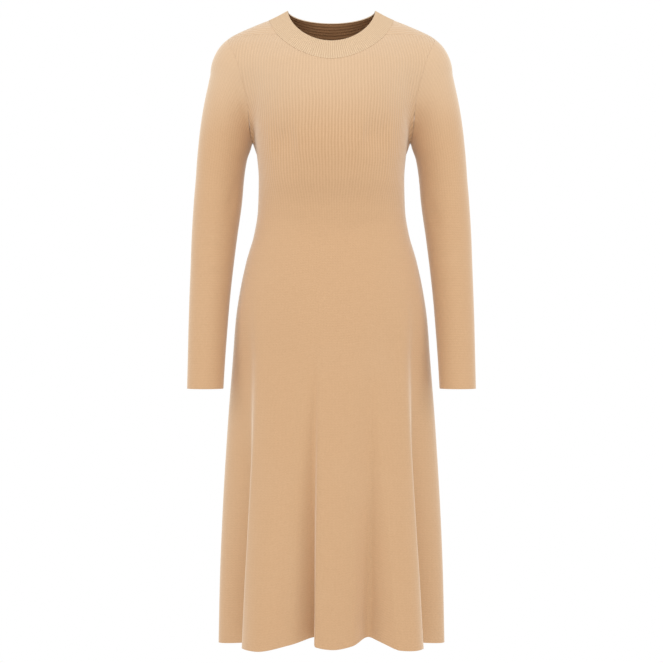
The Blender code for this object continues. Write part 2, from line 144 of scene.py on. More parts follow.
# Neck seam and the band's top edge in mm: half width, the middle, how far they reach ahead and
# behind, how far they drop there, and how long they stay high on the way (1 drops evenly).
neckSeam = {"halfWidth": 113, "middleY": -14, "sideZ": -13, "front": 101, "back": 99,
            "frontDrop": 84, "backDrop": 31, "dropPower": 1.6}
neckEdge = {"halfWidth": 79, "middleY": -14, "sideZ": 3, "front": 76, "back": 74,
            "frontDrop": 65, "backDrop": 11, "dropPower": 1.2}

seams = {
    "shoulderFacing": 28,         # degrees ahead of the side where the shoulder seam meets the band
    "shoulderForward": 19 * mm,   # how far ahead of the shoulder ridge it ends at the armhole
    "shoulderPoint": (188, -43),  # the armhole lies in a leaning sheet through these two points
    "underarmPoint": (141, -242),
    "scoopFront": 9 * mm,         # how far the armhole is hollowed toward the middle
    "scoopBack": 5 * mm,
    "scoopReach": 55 * mm,
}


def smoothSlopes(knots, values):
    widths = np.diff(knots)
    rises = np.diff(values) / widths
    slopes = np.zeros(len(knots))
    slopes[0], slopes[-1] = rises[0], rises[-1]
    for i in range(1, len(knots) - 1):
        before, after = rises[i - 1], rises[i]
        if before * after > 0:
            near, far = 2 * widths[i] + widths[i - 1], widths[i] + 2 * widths[i - 1]
            slopes[i] = (near + far) / (near / before + far / after)
    return slopes


def readTable(table, column, at):
    rows = np.array(sorted(table), dtype=float)
    knots, values = rows[:, 0], rows[:, column]
    slopes = smoothSlopes(knots, values)
    at = np.clip(at, knots[0], knots[-1])
    i = np.clip(np.searchsorted(knots, at) - 1, 0, len(knots) - 2)
    width = knots[i + 1] - knots[i]
    t = (at - knots[i]) / width
    return ((1 + 2 * t) * (1 - t) ** 2 * values[i] + t * (1 - t) ** 2 * width * slopes[i]
            + t * t * (3 - 2 * t) * values[i + 1] + t * t * (t - 1) * width * slopes[i + 1])


def torsoRadius(directionX, directionY, z):
    level = z / mm
    halfWidth = readTable(torsoTable, 1, level) * mm
    front, back = readTable(torsoTable, 2, level) * mm, readTable(torsoTable, 3, level) * mm
    power = readTable(torsoTable, 4, level)
    depth = np.where(directionY < 0, front, back)
    total = (np.abs(directionX) / halfWidth) ** power + (np.abs(directionY) / depth) ** power
    return np.maximum(total, 1e-9) ** (-1 / power)


def torsoDistance(points):
    x, y, z = points[..., 0], points[..., 1], points[..., 2]
    reach = np.maximum(np.hypot(x, y), 1e-9)
    return reach - torsoRadius(x / reach, y / reach, z)


def sleeveMiddle(z):
    level = np.minimum(z / mm, sleeveTable[0][0])
    outer, inner = readTable(sleeveTable, 1, level) * mm, readTable(sleeveTable, 2, level) * mm
    forward, halfDepth = readTable(sleeveTable, 3, level) * mm, readTable(sleeveTable, 4, level) * mm
    return (outer + inner) / 2, -forward, (outer - inner) / 2, halfDepth


def sleeveDistance(points):
    middleX, middleY, halfWidth, halfDepth = sleeveMiddle(points[..., 2])
    x, y = points[..., 0] - middleX, points[..., 1] - middleY
    above = np.maximum(points[..., 2] - sleeveTable[0][0] * mm, 0)
    reach = np.maximum(np.sqrt(x * x + y * y + above * above), 1e-9)
    scaled = np.sqrt((x / halfWidth) ** 2 + (y / halfDepth) ** 2 + (above / shoulderCap) ** 2)
    return reach - reach / np.maximum(scaled, 1e-9)


# How far points lie outside the bodice and sleeves together.
def formDistance(points):
    points = np.concatenate([np.abs(points[..., :1]), points[..., 1:]], axis=-1)
    torso, sleeve = torsoDistance(points), sleeveDistance(points)
    radius = readTable(roundingTable, 1, points[..., 2] / mm) * mm
    overlap = np.maximum(radius - np.abs(torso - sleeve), 0) / radius
    return np.minimum(torso, sleeve) - overlap ** 2 * radius / 4


search = {
    "reach": 0.26,          # the furthest that a path is followed to leave the form
    "steps": 130,
    "sleeveReach": 0.12,
    "sleeveSteps": 80,
    "halvings": 20,
    "chestLevel": -0.15,    # paths to the upper form start in the middle of the chest
    "sideShare": 0.5,       # and move this far toward the side of the point looked for
    "downShare": 0.6,       # and this far down toward one that lies lower
    "slopeStep": 0.1 * mm,
    "leastSlope": 0.3,      # keeps a step small where the form's slope is unsure
}


# Follow each path, a function of distance, to where it first leaves the form.
def firstExit(starts, path, length=search["reach"], steps=search["steps"]):
    along = np.linspace(0, length, steps + 1)
    samples = np.stack([path(np.full(len(starts), s)) for s in along], axis=1)
    outside = formDistance(samples) > 0
    outside[:, 0], outside[:, -1] = False, True
    first = np.argmax(outside, axis=1)
    low, high = along[first - 1], along[first]
    for _ in range(search["halvings"]):
        middle = (low + high) / 2
        out = formDistance(path(middle)) > 0
        low, high = np.where(out, low, middle), np.where(out, middle, high)
    return path((low + high) / 2)


def pressOntoForm(guesses):
    starts = np.tile([0, 0, search["chestLevel"]], (len(guesses), 1))
    starts[:, 0] = search["sideShare"] * guesses[:, 0]
    starts[:, 2] += search["downShare"] * np.minimum(guesses[:, 2] - search["chestLevel"], 0)
    directions = guesses - starts
    directions /= np.linalg.norm(directions, axis=1)[:, None]
    return firstExit(starts, lambda s: starts + directions * s[:, None])


def formSlope(points):
    step = search["slopeStep"]
    return np.stack([(formDistance(points + axis) - formDistance(points - axis)) / (2 * step)
                     for axis in np.eye(3) * step], axis=-1)


# Move points that lie near the form straight onto it.
def settle(points):
    slope = formSlope(points)
    steep = np.maximum((slope ** 2).sum(axis=-1), search["leastSlope"])
    return points - (formDistance(points) / steep)[..., None] * slope


def relax(grid, across, upward, rounds):
    width = np.linalg.norm(np.diff(grid[0], axis=0), axis=1).sum()
    height = np.linalg.norm(np.diff(grid[:, 0], axis=0), axis=1).sum()
    u, v = across[None, :, None], upward[:, None, None]

    def pull(before, after, beforeAt, hereAt, afterAt, length):
        near, far = hereAt - beforeAt, afterAt - hereAt
        return (before * far + after * near) / (near + far), 1 / (near * far * length ** 2)

    for _ in range(rounds):
        level, levelWeight = pull(grid[1:-1, :-2], grid[1:-1, 2:],
                                  u[:, :-2], u[:, 1:-1], u[:, 2:], width)
        upright, uprightWeight = pull(grid[:-2, 1:-1], grid[2:, 1:-1],
                                      v[:-2], v[1:-1], v[2:], height)
        total = levelWeight + uprightWeight
        grid[1:-1, 1:-1] = settle((level * levelWeight + upright * uprightWeight) / total)
    return grid


def fluteColumn(facing, column):
    turned = [(row[0] + turn, *row[1:]) for turn in (-360, 0, 360) for row in fluteTable]
    return readTable(turned, column, facing)


# Points of the level sections, height from 0 at the hem to 1 just below the underarm.
def skirtPoints(facing, heightFraction):
    hem, chest = cloth["hemLevel"], cloth["chestLevel"]
    angle = np.radians(facing)
    outX, outY = np.sin(angle), -np.cos(angle)
    rise = fluteColumn(facing, 3) * mm
    z = hem + rise + (chest - hem - rise) * heightFraction
    begins = fluteColumn(facing, 4) * mm
    growth = np.clip((begins - z) / (begins - hem), 0, 1) ** fluteColumn(facing, 5)
    radius = torsoRadius(outX, outY, z) + fluteColumn(facing, 1) * mm * growth
    lean = fluteColumn(facing, 2) * mm * growth
    return np.stack([radius * outX - lean * outY, radius * outY + lean * outX, z], axis=-1)


def sharesAlong(points):
    lengths = np.concatenate([[0], np.cumsum(np.linalg.norm(np.diff(points, axis=0), axis=1))])
    return lengths / lengths[-1]


def evenly(points, shares):
    along = sharesAlong(points)
    return np.stack([np.interp(shares, along, points[:, i]) for i in range(3)], axis=1)


def neckCurve(sizes, facing):
    angle = np.radians(facing)
    ahead = np.cos(angle)
    reach = np.where(ahead > 0, sizes["front"], sizes["back"])
    drop = np.where(ahead > 0, sizes["frontDrop"], sizes["backDrop"])
    x = sizes["halfWidth"] * np.sin(angle)
    y = sizes["middleY"] - reach * ahead
    z = sizes["sideZ"] - drop * np.abs(ahead) ** sizes["dropPower"]
    return np.stack([x, y, z], axis=-1) * mm


def neckSeamPoints(facing, towardEdge=0.0):
    seam, edge = neckCurve(neckSeam, facing), neckCurve(neckEdge, facing)
    direction = edge - seam
    direction /= np.linalg.norm(direction, axis=-1)[..., None]
    return pressOntoForm(seam + direction * towardEdge)


# Start, upward and outward direction and height of the sheet that holds the armhole seam.
def armholeFrame():
    top = np.array([seams["shoulderPoint"][0], 0, seams["shoulderPoint"][1]]) * mm
    bottom = np.array([seams["underarmPoint"][0], 0, seams["underarmPoint"][1]]) * mm
    height = np.linalg.norm(top - bottom)
    up = (top - bottom) / height
    return (top + bottom) / 2, up, np.array([up[2], 0, -up[0]]), height


# Armhole seam of the +X side: -90 underarm, 0 front, 90 shoulder, 180 back.
def armholePoints(turns):
    start, up, out, height = armholeFrame()
    angle = np.radians(turns)
    ahead, rise = np.cos(angle), np.sin(angle)

    def path(s):
        level = np.clip(s * rise / (height / 2), -1, 1)
        depth = np.clip(np.abs(s * ahead) / seams["scoopReach"], 0, 1)
        scoop = np.where(ahead > 0, seams["scoopFront"], seams["scoopBack"])
        inward = scoop * depth ** 2 * (1 - level ** 2)
        return (start + np.outer(s * ahead, (0, -1, 0)) + np.outer(s * rise, up)
                - np.outer(inward, out))

    return firstExit(np.tile(start, (len(turns), 1)), path)


# Armhole of the +X side from the underarm to the shoulder seam.
def armholeHalf(isFront):
    trial = np.linspace(45, 90, 91)
    seamTurn = float(np.interp(-seams["shoulderForward"], armholePoints(trial)[:, 1], trial))
    turns = np.linspace(-90 if isFront else 270, seamTurn, 500)
    return evenly(armholePoints(turns), np.linspace(0, 1, cloth["armholeRows"] + 1))


def panelFacings(isFront):
    marks = [row[0] for row in fluteTable if (row[0] <= 90) == isFront or row[0] == 90]
    marks = marks if isFront else [*marks, 270]
    facing = [marks[0]]
    for mark, following in zip(marks, marks[1:]):
        count = max(1, round((following - mark) / cloth["columnDegrees"]))
        facing.extend(np.linspace(mark, following, count + 1)[1:])
    return np.array(facing) if isFront else np.array(facing[::-1])


def neckFacings(isFront):
    columns = panelFacings(isFront)
    corner = 90 - seams["shoulderFacing"]
    if isFront:
        return np.linspace(-corner, corner, len(columns) - 2 * cloth["shoulderRows"])
    shares = sharesAlong(skirtPoints(columns, np.ones(len(columns))))
    return 360 - corner + (2 * corner - 360) * shares


def coons(bottom, top, left, right, across, upward):
    u, v = across[None, :, None], upward[:, None, None]
    between = (1 - v) * bottom[None] + v * top[None] + (1 - u) * left[:, None] + u * right[:, None]
    corners = ((1 - u) * (1 - v) * bottom[0] + u * (1 - v) * bottom[-1]
               + (1 - u) * v * top[0] + u * v * top[-1])
    return between - corners


# Points of a panel, rows from hem to neck, columns toward +X. The shoulder seams belong to the
# front's top edge but to the back's sides.
def panelGrid(isFront):
    facing = panelFacings(isFront)
    heights = np.linspace(0, 1, cloth["skirtRows"] + 1)
    skirt = np.array([skirtPoints(facing, np.full(len(facing), height)) for height in heights])
    armhole = armholeHalf(isFront)
    neck = neckSeamPoints(neckFacings(isFront))[::-1]
    shares = np.linspace(0, 1, cloth["shoulderRows"] + 1)[1:-1, None]
    shoulder = pressOntoForm(armhole[-1] * (1 - shares) + neck[0] * shares)
    mirror = np.array([-1, 1, 1])
    side = np.concatenate([skirt[-1][-1:], armhole])
    if isFront:
        right = side
        run = np.concatenate([armhole[-1:], shoulder])
        top = np.concatenate([run * mirror, neck[::-1], run[::-1]])
    else:
        right = np.concatenate([side, shoulder, neck[:1]])
        top = neck[::-1]
    left = right * mirror
    bottom = skirt[-1]
    across, upward = sharesAlong(bottom), sharesAlong(right)
    guesses = coons(bottom, top, left, right, across, upward)
    patch = pressOntoForm(guesses.reshape(-1, 3)).reshape(guesses.shape)
    patch[0], patch[-1], patch[:, 0], patch[:, -1] = bottom, top, left, right
    patch = relax(patch, across, upward, cloth["relaxRounds"])
    return np.concatenate([skirt[:-1], patch])


sleeveShape = {
    "rings": 106,
    "turns": 181,
    "scoopFades": 2.0,  # ring rows over which the armhole's hollow runs out
}

# Planes of the sleeve's rings: the armhole first, then fanned, then level.
ringTable = (
    # row, inner level, outer level
    (0, -242, -43),
    (1, -247, -80),
    (2, -253, -122),
    (3, -262, -166),
    (4, -275, -212),
    (5, -293, -256),
    (6, -320, -320),
    (7, -360, -360),
    (8, -405, -405),
    (9, -450, -450),
    (10, -500, -500),
    (11, -550, -550),
    (12, -605, -605),
    (13, -677, -677),
)


def sleeveRing(innerZ, outerZ, turns):
    middleZ = (innerZ + outerZ) / 2
    middleY = sleeveMiddle(np.array([middleZ]))[1][0]
    innerX = readTable(sleeveTable, 2, np.array([innerZ / mm]))[0] * mm
    outerX = readTable(sleeveTable, 1, np.array([outerZ / mm]))[0] * mm
    up = np.array([outerX - innerX, 0, outerZ - innerZ])
    up /= np.linalg.norm(up)
    start = np.array([(innerX + outerX) / 2, middleY, middleZ])
    angle = np.radians(turns)
    directions = np.outer(np.cos(angle), (0, -1, 0)) + np.outer(np.sin(angle), up)
    return firstExit(np.tile(start, (len(turns), 1)), lambda s: start + directions * s[:, None],
                     search["sleeveReach"], search["sleeveSteps"])


def sleeveGrid():
    front, back = armholeHalf(True), armholeHalf(False)
    loop = np.concatenate([front, back[-2:0:-1]])
    around = sharesAlong(np.concatenate([loop, loop[:1]]))[:-1]
    turns = np.linspace(-90, 270, sleeveShape["turns"])
    rows = np.linspace(0, ringTable[-1][0], sleeveShape["rings"])
    rings = []
    for row in rows:
        inner, outer = (readTable(ringTable, column, row) * mm for column in (1, 2))
        rings.append(evenly(sleeveRing(inner, outer, turns), around))
    rings = np.array(rings)
    fade = np.clip(1 - rows / sleeveShape["scoopFades"], 0, 1) ** 2
    moved = rings + (loop - rings[0]) * fade[:, None, None]
    near = rows < sleeveShape["scoopFades"]
    moved[near] = settle(moved[near])
    moved[0] = loop
    return moved


band = {
    "ribs": 168,             # 1x1 rib of 4.3 mm at the seam, which is 720 mm round, to 3.1 mm at the edge
    "columnsPerRib": 8,
    "rows": 13,
    "ribDepth": 0.55 * mm,
    "bulge": 0.35,
    "standsProud": 0.5 * mm,  # the band is linked on over the panels' edge
    "guide": 3 * mm,          # the band leaves the seam toward the form's place this far up
    "seamFlat": 0.06,         # share of its width over which the ribs rise from the seam
    "edgeFlat": 0.08,         # and fall to the folded edge
    "leastRib": 0.35,         # share of the ribs' depth left at both
    "drawnHeight": 0.03,
}


def neckbandGrid():
    columns = band["ribs"] * band["columnsPerRib"]
    trial = np.linspace(0, 360, 721)
    seamRound = neckSeamPoints(trial)
    facing = np.interp(np.linspace(0, 1, columns + 1)[:-1], sharesAlong(seamRound), trial)
    low = np.stack([np.interp(facing, trial, seamRound[:, i]) for i in range(3)], axis=1)
    edge = neckCurve(neckEdge, facing)
    coarse = facing[::band["columnsPerRib"]]
    guide = neckSeamPoints(coarse, band["guide"])
    coarse, guide = np.append(coarse, 360), np.concatenate([guide, guide[:1]])
    inside = np.stack([np.interp(facing, coarse, guide[:, i]) for i in range(3)], axis=1)
    tangent = inside - low
    tangent /= np.linalg.norm(tangent, axis=1)[:, None]
    span = np.linalg.norm(edge - low, axis=1)[:, None]
    shares = np.linspace(0, 1, band["rows"])
    grid = np.array([low * (1 - t) + edge * t + tangent * span * band["bulge"] * t * (1 - t) ** 2
                     for t in shares])
    along = np.roll(grid, -1, axis=1) - np.roll(grid, 1, axis=1)
    across = np.gradient(grid, axis=0)
    normal = np.cross(along, across)
    normal /= np.linalg.norm(normal, axis=2)[..., None]
    if normal[..., 2].mean() < 0:
        normal = -normal
    ribPhase = 2 * math.pi * np.arange(columns) / band["columnsPerRib"]
    ribs = 0.5 + 0.5 * np.cos(ribPhase)
    ends = np.clip(np.minimum(shares / band["seamFlat"], (1 - shares) / band["edgeFlat"]), 0, 1)
    strength = band["leastRib"] + (1 - band["leastRib"]) * ends[:, None]
    height = band["standsProud"] + band["ribDepth"] * (ribs[None, :] - 1) * strength
    return grid + normal * height[..., None]


# Soft troughs and ridges: a line in front view from one end to the other, how wide, how deep
# (negative is a trough), and whether it lies on the front (1) or the back (-1).
creaseTable = (
    # x1, z1, x2, z2, width, depth, side
    (-160, -165, -139, -232, 7, -2.4, 1),
    (155, -168, 137, -226, 7, -2.2, 1),
    (-146, -140, -120, -232, 9, 1.4, 1),
    (140, -146, 120, -228, 9, 1.2, 1),
    (-108, -246, -60, -240, 30, -6.5, 1),
    (54, -228, 104, -236, 30, -6.5, 1),
    (-168, -300, -186, -372, 8, -1.6, 1),
    (172, -330, 190, -396, 9, -1.5, 1),
    (-176, -432, -232, -418, 8, -1.4, 1),
    (182, -446, 236, -430, 8, -1.3, 1),
    (-184, -478, -226, -470, 9, -1.2, 1),
    (186, -500, 228, -486, 9, -1.2, 1),
    (-118, -372, -40, -384, 11, -1.2, 1),
    (30, -392, 112, -376, 12, -1.2, 1),
    (-158, -150, -141, -230, 8, -2.6, -1),
    (156, -160, 140, -232, 8, -2.4, -1),
    (-112, -352, -18, -372, 10, -2.2, -1),
    (8, -366, 108, -346, 11, -2.4, -1),
    (-96, -398, 12, -410, 10, -1.8, -1),
    (20, -414, 104, -392, 10, -1.8, -1),
    (-120, -300, -44, -322, 12, -1.6, -1),
    (38, -318, 118, -296, 12, -1.6, -1),
    (-186, -396, -236, -420, 8, -1.8, -1),
    (184, -402, 238, -424, 8, -1.8, -1),
    (-190, -448, -240, -462, 9, -1.5, -1),
    (188, -452, 242, -470, 9, -1.6, -1),
)


creaseEnds = 0.15    # share of its depth that a crease keeps at both ends
creaseFacing = 1.6   # how soon creases fade where the cloth turns to the side


def creaseHeight(points, normals):
    x, z = points[..., 0] / mm, points[..., 2] / mm
    total = np.zeros(x.shape)
    for x1, z1, x2, z2, width, depth, side in creaseTable:
        lengthSquared = (x2 - x1) ** 2 + (z2 - z1) ** 2
        t = ((x - x1) * (x2 - x1) + (z - z1) * (z2 - z1)) / lengthSquared
        t = np.clip(t, 0, 1)
        away = np.hypot(x - x1 - t * (x2 - x1), z - z1 - t * (z2 - z1))
        ends = np.clip(4 * t * (1 - t) + creaseEnds, 0, 1)
        facing = np.clip(-side * normals[..., 1] * creaseFacing, 0, 1)
        total += depth * np.exp(-(away / width) ** 2) * ends * facing
    return total * mm


def gridNormals(grid, closed):
    if closed:
        along = np.roll(grid, -1, axis=1) - np.roll(grid, 1, axis=1)
    else:
        along = np.gradient(grid, axis=1)
    normals = np.cross(along, np.gradient(grid, axis=0))
    normals /= np.maximum(np.linalg.norm(normals, axis=2), 1e-12)[..., None]
    outward = grid - grid.mean(axis=(0, 1))
    return normals if (normals * outward).sum() > 0 else -normals


sleeveRound = 0.33  # metres that the drawn stitches count around a sleeve


# Lengths run along the cloth, so that stitches follow it: u across the wales, v along them.
def knitLengths(grid, closed):
    flat = np.diff(grid, axis=1)
    run = np.cumsum(np.hypot(flat[..., 0], flat[..., 1]), axis=1)
    run = np.concatenate([np.zeros((len(grid), 1)), run], axis=1)
    middle = run[:, run.shape[1] // 2][:, None]
    climb = np.linalg.norm(np.diff(grid, axis=0), axis=2)
    climb = np.concatenate([np.zeros((1, grid.shape[1])), np.cumsum(climb, axis=0)])
    if closed:
        u = np.tile(np.arange(grid.shape[1]) / grid.shape[1], (len(grid), 1)) * sleeveRound
        return u, climb.mean(axis=1)[:, None] + 0 * u
    chestRow = cloth["skirtRows"]
    u = run - middle
    u[:chestRow] = u[chestRow]
    v = climb.mean(axis=1)[:, None] + 0 * u
    v[chestRow:] = v[chestRow] + climb[chestRow:] - climb[chestRow]
    return u, v


rimRound = 0.5 * mm
sharpEdge = 60  # degrees


def clothPiece(name, grid, thickness, materials, closed, lengths=None, creased=True):
    normals = gridNormals(grid, closed)
    if creased:
        grid = grid + normals * creaseHeight(grid, normals)[..., None]
    u, v = knitLengths(grid, closed) if lengths is None else lengths
    rows, columns = grid.shape[:2]
    index = np.arange(rows * columns).reshape(rows, columns)
    following = np.roll(index, -1, axis=1) if closed else index[:, 1:]
    here = index if closed else index[:, :-1]
    quads = np.stack([here[:-1], following[:-1], following[1:], here[1:]], axis=-1).reshape(-1, 4)
    points = grid.reshape(-1, 3)
    corners = points[quads]
    faceNormal = np.cross(corners[:, 1] - corners[:, 0], corners[:, 3] - corners[:, 0])
    if (faceNormal * normals.reshape(-1, 3)[quads[:, 0]]).sum() < 0:
        quads = quads[:, ::-1]
    mesh = bpy.data.meshes.new(name)
    mesh.from_pydata(points.tolist(), [], quads.tolist())
    layer = mesh.uv_layers.new(name="knit")
    coordinates = np.stack([u.reshape(-1), v.reshape(-1)], axis=1)[quads]
    if closed:
        # the last face round runs on past the end instead of back to the start
        wrapped = coordinates[..., 0].max(axis=1) - coordinates[..., 0].min(axis=1) > 0.5 * u.max()
        low = coordinates[..., 0] < 0.25 * u.max()
        coordinates[..., 0] += np.where(wrapped[:, None] & low, u.max() * columns / (columns - 1), 0)
    layer.data.foreach_set("uv", coordinates.reshape(-1).astype(np.float32))
    for material in materials:
        mesh.materials.append(material)
    mesh.shade_smooth()
    piece = bpy.data.objects.new(name, mesh)
    bpy.context.scene.collection.objects.link(piece)
    solidify = piece.modifiers.new("wall", "SOLIDIFY")
    solidify.thickness = thickness
    solidify.offset = -1
    solidify.material_offset = 1
    rim = piece.modifiers.new("rim", "BEVEL")
    rim.width = rimRound
    rim.segments = 2
    rim.limit_method = "ANGLE"
    rim.angle_limit = math.radians(sharpEdge)
    rim.harden_normals = True
    print(f"{name}: {len(quads) * 4 + 4 * (rows + columns)} triangles")
    return piece


def linear(hexColour):
    channels = [int(hexColour[i:i + 2], 16) / 255 for i in (1, 3, 5)]
    return (*[c / 12.92 if c <= 0.04045 else ((c + 0.055) / 1.055) ** 2.4 for c in channels], 1.0)


def addNode(tree, kind, settings=None, links=None):
    node = tree.nodes.new(kind)
    for key, value in (settings or {}).items():
        if isinstance(key, int) or key in node.inputs:
            node.inputs[key].default_value = value
        else:
            setattr(node, key, value)
    for key, source in (links or {}).items():
        tree.links.new(source, node.inputs[key])
    return node


# Fine-gauge plain knit, steamed flat: matt, with a soft bloom of loose fibre that lightens the
# cloth where it turns away. The fibre isn't known.
jersey = {
    "face": "#CDA781",
    # painted shade: the stitches' grooves are coloured darker, where shade falls in them
    "grooveShade": "#B48D66",
    # painted highlight: the paler colour painted on the upper chest, where light from above falls
    "paintedHighlight": "#D2B89A",
    "walePitch": 5.8,    # real wales of about 1.6 mm are too fine to show, so these are drawn coarser
    "coursePitch": 4.4,  # real courses of about 1.3 mm are drawn coarser too
    "wander": 10.0,      # how far the drawn wales drift, in radians of their pitch
    "wanderScale": 14.0,
    "waistLevel": -0.43,  # wales fade from the chest level down to the waist level
    "chestLevel": -0.2,
    "waistWales": 0.04,
    "chestWales": 0.75,
    "courseLean": 0.9,   # how far each course bends around a wale
    "courseShare": 0.13,
    "contrast": 0.42,
    "middleTone": 0.62,
    "grain": 0.5,
    "fuzzScale": 420.0,
    "fuzzRelief": 0.35,
    "cloudScale": 7.0,
    "cloud": 0.22,       # how much the painted highlight's share drifts in soft patches
    "paintedHighlightFrom": -0.25,   # the upper chest is painted paler here, a painted highlight of the light from above
    "paintedHighlightTo": -0.11,
    "paintedHighlightShare": 0.5,
    "bumpHeight": 0.6,   # mm
    "sheen": 0.9,
    "roughness": 0.88,
}

# The same yarn in 1x1 rib, folded double: the raised ribs catch more light.
ribKnit = {
    "face": "#D3B999",
    # painted shade in the grooves between the ribs, painted highlight on their raised faces
    "grooveShade": "#BA9A7A",
    "contrast": 0.35,
    "middleTone": 0.6,
    "fuzzScale": 420.0,
    "bumpHeight": 0.15,
    "sheen": 0.25,
    "roughness": 0.88,
}

# The knit's inner side, rough purl stitches, coloured darker with painted shade for the dim inside of the
# dress.
purlSide = {
    "face": "#B5875E",
    "grooveShade": "#A77B55",
    "coursePitch": 4.4,
    "contrast": 0.4,
    "middleTone": 0.5,
    "bumpHeight": 0.4,
    "roughness": 0.95,
}

bumpStrength = 0.6


def startMaterial(name, look):
    material = bpy.data.materials.new(name)
    material.use_nodes = True
    tree = material.node_tree
    shader = tree.nodes["Principled BSDF"]
    shader.inputs["Roughness"].default_value = look["roughness"]
    shader.inputs["IOR"].default_value = 1.5
    shader.inputs["Specular IOR Level"].default_value = 0.25
    if "sheen" in look:
        shader.inputs["Sheen Weight"].default_value = look["sheen"]
        shader.inputs["Sheen Roughness"].default_value = 0.45
        shader.inputs["Sheen Tint"].default_value = linear("#FFF3E2")
    return material, tree, shader


def wave(tree, source, pitch, shift=None):
    turned = addNode(tree, "ShaderNodeMath", {"operation": "MULTIPLY", 1: 2 * math.pi / (pitch * mm)},
                     {0: source})
    if shift is not None:
        turned = addNode(tree, "ShaderNodeMath", {"operation": "ADD"}, {0: turned.outputs[0], 1: shift})
    return addNode(tree, "ShaderNodeMath", {"operation": "COSINE"}, {0: turned.outputs[0]})


def finish(tree, shader, colour, height, look):
    bump = addNode(tree, "ShaderNodeBump",
                   {"Strength": bumpStrength, "Distance": look["bumpHeight"] * mm}, {"Height": height})
    tree.links.new(colour.outputs[2], shader.inputs["Base Color"])
    tree.links.new(bump.outputs["Normal"], shader.inputs["Normal"])


def jerseyMaterial(name, look, waleStrength):
    material, tree, shader = startMaterial(name, look)
    lengths = addNode(tree, "ShaderNodeUVMap", {"uv_map": "knit"})
    parts = addNode(tree, "ShaderNodeSeparateXYZ", {}, {0: lengths.outputs[0]})
    place = addNode(tree, "ShaderNodeTexCoord")
    position = addNode(tree, "ShaderNodeSeparateXYZ", {}, {0: place.outputs["Object"]})
    # wales stand out on the chest and fade toward the waist
    chest = addNode(tree, "ShaderNodeMapRange",
                    {"interpolation_type": "SMOOTHSTEP", "From Min": look["waistLevel"],
                     "From Max": look["chestLevel"], "To Min": look["waistWales"] * waleStrength,
                     "To Max": look["chestWales"] * waleStrength}, {"Value": position.outputs["Z"]})
    wander = addNode(tree, "ShaderNodeTexNoise", {"Scale": look["wanderScale"], "Detail": 1.0},
                     {"Vector": place.outputs["Object"]})
    drift = addNode(tree, "ShaderNodeMath", {"operation": "MULTIPLY", 1: look["wander"]},
                    {0: wander.outputs["Fac"]})
    wales = wave(tree, parts.outputs["X"], look["walePitch"], drift.outputs[0])
    lean = addNode(tree, "ShaderNodeMath", {"operation": "MULTIPLY", 1: look["courseLean"]},
                   {0: wales.outputs[0]})
    courses = wave(tree, parts.outputs["Y"], look["coursePitch"], lean.outputs[0])
    raised = addNode(tree, "ShaderNodeMath", {"operation": "MULTIPLY"},
                     {0: wales.outputs[0], 1: chest.outputs[0]})
    faint = addNode(tree, "ShaderNodeMath", {"operation": "MULTIPLY", 1: look["courseShare"]},
                    {0: courses.outputs[0]})
    stitches = addNode(tree, "ShaderNodeMath", {"operation": "ADD"},
                       {0: raised.outputs[0], 1: faint.outputs[0]})
    fuzz = addNode(tree, "ShaderNodeTexNoise", {"Scale": look["fuzzScale"], "Detail": 2.0},
                   {"Vector": place.outputs["Object"]})
    tone = addNode(tree, "ShaderNodeMath",
                   {"operation": "MULTIPLY_ADD", 1: look["contrast"], 2: look["middleTone"]},
                   {0: stitches.outputs[0]})
    grain = addNode(tree, "ShaderNodeMath",
                    {"operation": "MULTIPLY_ADD", 1: look["grain"], 2: -look["grain"] / 2},
                    {0: fuzz.outputs["Fac"]})
    tone = addNode(tree, "ShaderNodeMath", {"operation": "ADD", "use_clamp": True},
                   {0: tone.outputs[0], 1: grain.outputs[0]})
    # stitch faces and painted groove shade by the stitches' relief, with random grain
    colour = addNode(tree, "ShaderNodeMix", {"data_type": "RGBA", 6: linear(look["grooveShade"]),
                     7: linear(look["face"])}, {0: tone.outputs[0]})
    # painted highlight: the upper chest is painted paler, as light from above and sheen light it; its
    # lower end drifts in soft patches
    height = addNode(tree, "ShaderNodeMapRange",
                     {"interpolation_type": "SMOOTHSTEP", "From Min": look["paintedHighlightFrom"],
                      "From Max": look["paintedHighlightTo"], "To Min": 0.0, "To Max": look["paintedHighlightShare"]},
                     {"Value": position.outputs["Z"]})
    cloud = addNode(tree, "ShaderNodeTexNoise", {"Scale": look["cloudScale"], "Detail": 2.0},
                    {"Vector": place.outputs["Object"]})
    patches = addNode(tree, "ShaderNodeMath",
                      {"operation": "MULTIPLY_ADD", 1: look["cloud"], 2: -look["cloud"] / 2},
                      {0: cloud.outputs["Fac"]})
    paintedHighlightMix = addNode(tree, "ShaderNodeMath", {"operation": "ADD", "use_clamp": True},
                    {0: height.outputs[0], 1: patches.outputs[0]})
    colour = addNode(tree, "ShaderNodeMix", {"data_type": "RGBA", 7: linear(look["paintedHighlight"])},
                     {0: paintedHighlightMix.outputs[0], 6: colour.outputs[2]})
    relief = addNode(tree, "ShaderNodeMath", {"operation": "MULTIPLY_ADD", 1: look["fuzzRelief"]},
                     {0: fuzz.outputs["Fac"], 2: stitches.outputs[0]})
    finish(tree, shader, colour, relief.outputs[0], look)
    return material


